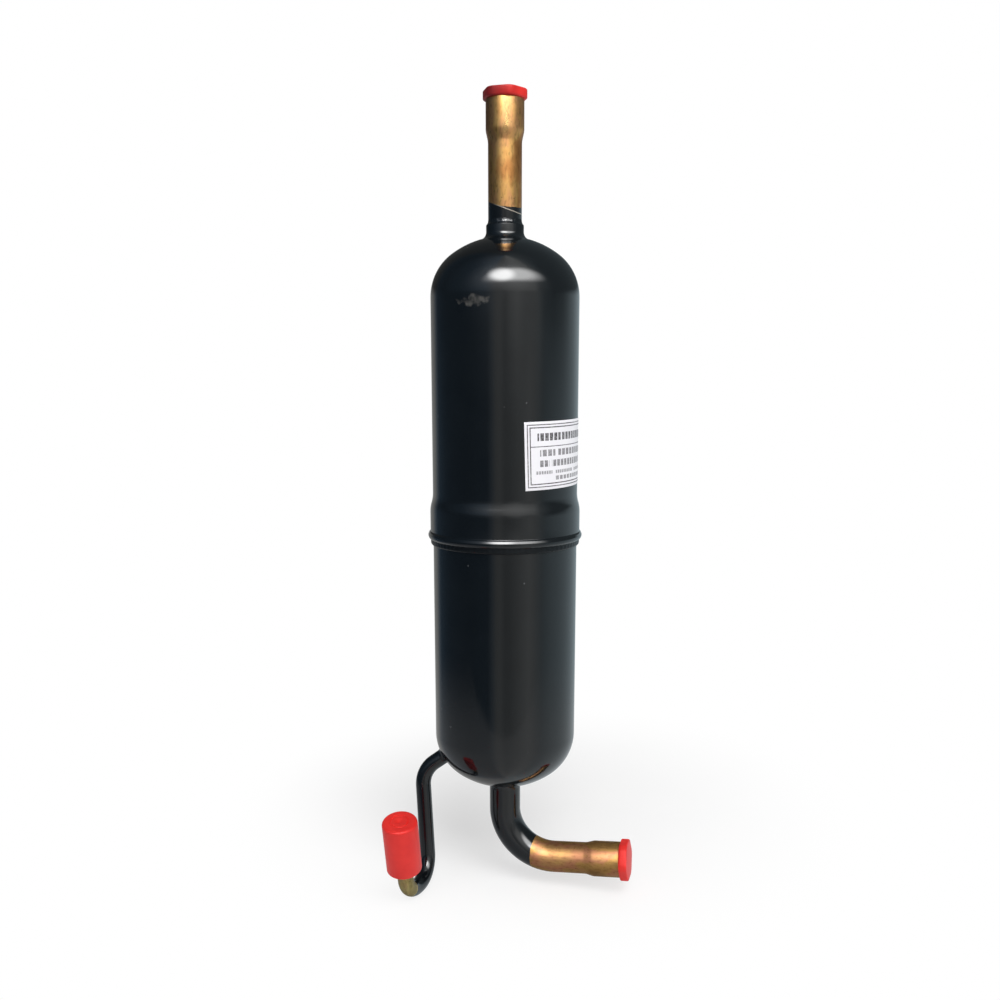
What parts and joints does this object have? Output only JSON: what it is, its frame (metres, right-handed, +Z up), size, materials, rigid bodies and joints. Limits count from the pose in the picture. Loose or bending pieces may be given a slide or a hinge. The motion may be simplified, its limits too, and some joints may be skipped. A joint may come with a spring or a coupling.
{
  "type": "refrigeration oil separator",
  "caption": "Upright domed steel vessel with a top gas inlet tube, a bottom elbow outlet and a hooked oil return tube, which separates oil from refrigerant gas.",
  "frame": {"origin": "on the vessel's axis, in the middle of the band of the upper shell that a pipe clamp holds", "axes": "+Z up along the vessel's axis, +X the way the outlet elbow points"},
  "size_m": [0.0921, 0.0789, 0.3127],
  "materials": {
    "black_enamel": "gloss enamel on drawn steel",
    "painted_copper": "copper tube, bare at its end and enamelled near the vessel",
    "red_plastic": "satin moulded polyethylene",
    "label_film": "printed white film",
    "bare_steel": "plain sheet and wire",
    "wire_mesh": "knitted wire"
  },
  "bodies": {
    "vessel": {"upper_shell": "black_enamel", "lower_shell": "black_enamel", "girth_weld": "black_enamel", "inlet_tube": "painted_copper", "inlet_braze": "black_enamel", "outlet_tube": "painted_copper", "outlet_braze": "black_enamel", "oil_return_tube": "painted_copper", "oil_return_braze": "black_enamel", "label": "label_film", "upper_screen": "bare_steel", "mesh_roll": "wire_mesh", "lower_screen": "bare_steel", "screen_rings": "bare_steel", "standpipe_hat": "bare_steel"},
    "inlet_plug": {"inlet_plug": "red_plastic"},
    "outlet_plug": {"outlet_plug": "red_plastic"},
    "oil_return_cap": {"oil_return_cap": "red_plastic"}
  },
  "joints": [
    {"name": "inlet_plug_pull", "type": "slide", "parent": "vessel", "child": "inlet_plug", "axis": [0, 0, 1], "range_m": [0, 0.015]},
    {"name": "outlet_plug_pull", "type": "slide", "parent": "vessel", "child": "outlet_plug", "axis": [0.9976, 0, 0.0698], "range_m": [0, 0.015]},
    {"name": "oil_return_cap_pull", "type": "slide", "parent": "vessel", "child": "oil_return_cap", "axis": [0.0303, -0.2684, 0.9628], "range_m": [0, 0.022]}
  ]
}
